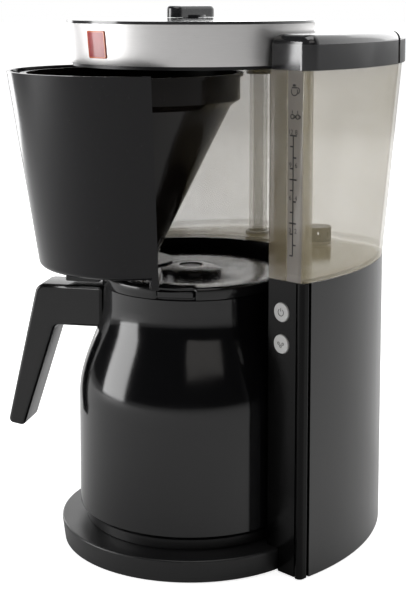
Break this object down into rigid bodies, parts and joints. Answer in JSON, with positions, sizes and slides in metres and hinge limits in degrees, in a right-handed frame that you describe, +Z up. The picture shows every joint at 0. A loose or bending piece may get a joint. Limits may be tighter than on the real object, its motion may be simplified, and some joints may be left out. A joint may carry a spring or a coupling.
{
  "type": "drip coffee maker",
  "caption": "Drip coffee maker with a clear rear water tank, a swing-out filter, a brushed brew head and a black thermal jug on a round stand.",
  "frame": {"origin": "on the floor, on the vertical axis shared by the jug and the brew head, at the middle of the centre foot", "axes": "+Z up, +X to the machine's right, +Y to its back where the tank is"},
  "size_m": [0.2255, 0.2655, 0.3557],
  "materials": {
    "base_plastic": "satin",
    "gloss_black": "gloss",
    "bottom_plastic": "matte",
    "rubber_black": "matte",
    "screw_steel": "satin",
    "inner_plastic": "satin",
    "heater_alloy": "satin",
    "bracket_steel": "satin",
    "bimetal_steel": "satin",
    "fuse_ceramic": "gloss",
    "hose_silicone": "satin",
    "valve_plastic": "satin",
    "board_green": "gloss",
    "switch_plastic": "gloss",
    "tank_clear": "smoke tint",
    "seal_silicone": "satin",
    "riser_plastic": "satin",
    "collar_plastic": "satin",
    "band_steel": "brushed round",
    "badge_red": "gloss",
    "knob_gloss": "gloss",
    "filter_black": "semi gloss",
    "valve_silicone": "satin",
    "spring_steel": "polished",
    "button_silver": "satin",
    "jug_gloss": "high gloss",
    "liner_steel": "satin",
    "handle_satin": "satin",
    "lid_satin": "satin"
  },
  "bodies": {
    "housing": {"jug_stand": "base_plastic", "bottom_cover": "bottom_plastic", "feet": "rubber_black", "base_screws": "screw_steel", "bay_wall": "gloss_black", "side_covers": "gloss_black", "rear_cover": "gloss_black", "corner_trims": "gloss_black", "mains_gland": "rubber_black", "column_deck": "inner_plastic", "flow_heater": "heater_alloy", "heater_bracket": "bracket_steel", "thermostat": "bimetal_steel", "thermal_fuse": "fuse_ceramic", "hot_water_hose": "hose_silicone", "cold_water_hoses": "hose_silicone", "check_valve": "valve_plastic", "hose_clamps": "spring_steel", "control_board": "board_green", "button_switches": "switch_plastic", "water_tank": "tank_clear", "tank_rear_cap": "gloss_black", "tank_lid_pins": "screw_steel", "tank_seals": "seal_silicone", "tank_sieve": "collar_plastic", "tank_outlet": "riser_plastic", "riser_tube": "riser_plastic", "riser_collar": "collar_plastic", "brew_head_shell": "base_plastic", "brew_head_band": "band_steel", "brew_head_lid": "gloss_black", "front_badge": "badge_red", "spray_plate": "base_plastic", "hot_water_elbow": "valve_plastic", "filter_hinge_pins": "screw_steel", "power_button_spring": "spring_steel", "descale_button_spring": "spring_steel"},
    "tank_lid": {"tank_lid": "gloss_black"},
    "selector": {"strength_selector": "knob_gloss", "water_diverter": "inner_plastic"},
    "filter": {"filter_shell": "filter_black", "filter_basket": "filter_black", "filter_hinge_bushes": "valve_plastic", "drip_stop_seal": "valve_silicone", "drip_stop_cage": "filter_black", "drip_stop_spring": "spring_steel"},
    "drip_valve": {"drip_stop_valve": "valve_silicone"},
    "power_button": {"power_button": "button_silver"},
    "descale_button": {"descale_button": "button_silver"},
    "jug": {"jug_body": "jug_gloss", "jug_liner": "liner_steel", "jug_base_ring": "base_plastic", "jug_neck_ring": "lid_satin", "jug_handle": "handle_satin", "handle_screws": "screw_steel"},
    "jug_lid": {"jug_lid": "lid_satin", "jug_lid_seal": "seal_silicone", "jug_lid_dome": "lid_satin", "jug_lid_valve": "valve_silicone"},
    "pour_lever": {"pour_lever": "handle_satin"}
  },
  "joints": [
    {"name": "tank_lid_hinge", "type": "hinge", "parent": "housing", "child": "tank_lid", "pos_m": [0, 0.0996, 0.3343], "axis": [-1, 0, 0], "range_deg": [0, 75]},
    {"name": "strength_turn", "type": "hinge", "parent": "housing", "child": "selector", "pos_m": [0, 0, 0.35], "axis": [0, 0, 1], "range_deg": [-45, 45]},
    {"name": "filter_swing", "type": "hinge", "parent": "housing", "child": "filter", "pos_m": [-0.088, 0.0096, 0.25], "axis": [0, 0, 1], "range_deg": [-33, 27]},
    {"name": "drip_valve_lift", "type": "slide", "parent": "filter", "child": "drip_valve", "axis": [0, 0, 1], "range_m": [0, 0.004], "stiffness_N_per_m": 150, "springref_m": -0.004, "deforming": ["drip_stop_spring"]},
    {"name": "power_press", "type": "slide", "parent": "housing", "child": "power_button", "axis": [0, 1, 0], "range_m": [0, 0.0015], "stiffness_N_per_m": 600, "springref_m": -0.001, "deforming": ["power_button_spring"]},
    {"name": "descale_press", "type": "slide", "parent": "housing", "child": "descale_button", "axis": [0, 1, 0], "range_m": [0, 0.0015], "stiffness_N_per_m": 600, "springref_m": -0.001, "deforming": ["descale_button_spring"]},
    {"name": "jug_pull_out", "type": "slide", "parent": "housing", "child": "jug", "axis": [0, -1, 0], "range_m": [0, 0.12]},
    {"name": "jug_lid_turn", "type": "hinge", "parent": "jug", "child": "jug_lid", "pos_m": [0, 0, 0.176], "axis": [0, 0, 1], "range_deg": [0, 40]},
    {"name": "pour_lever_press", "type": "hinge", "parent": "jug_lid", "child": "pour_lever", "pos_m": [-0.02502, -0.01656, 0.1832], "axis": [0.5519, -0.8339, 0], "range_deg": [0, 1.8], "stiffness_Nm_per_rad": 0.5, "springref_deg": -2.86}
  ]
}
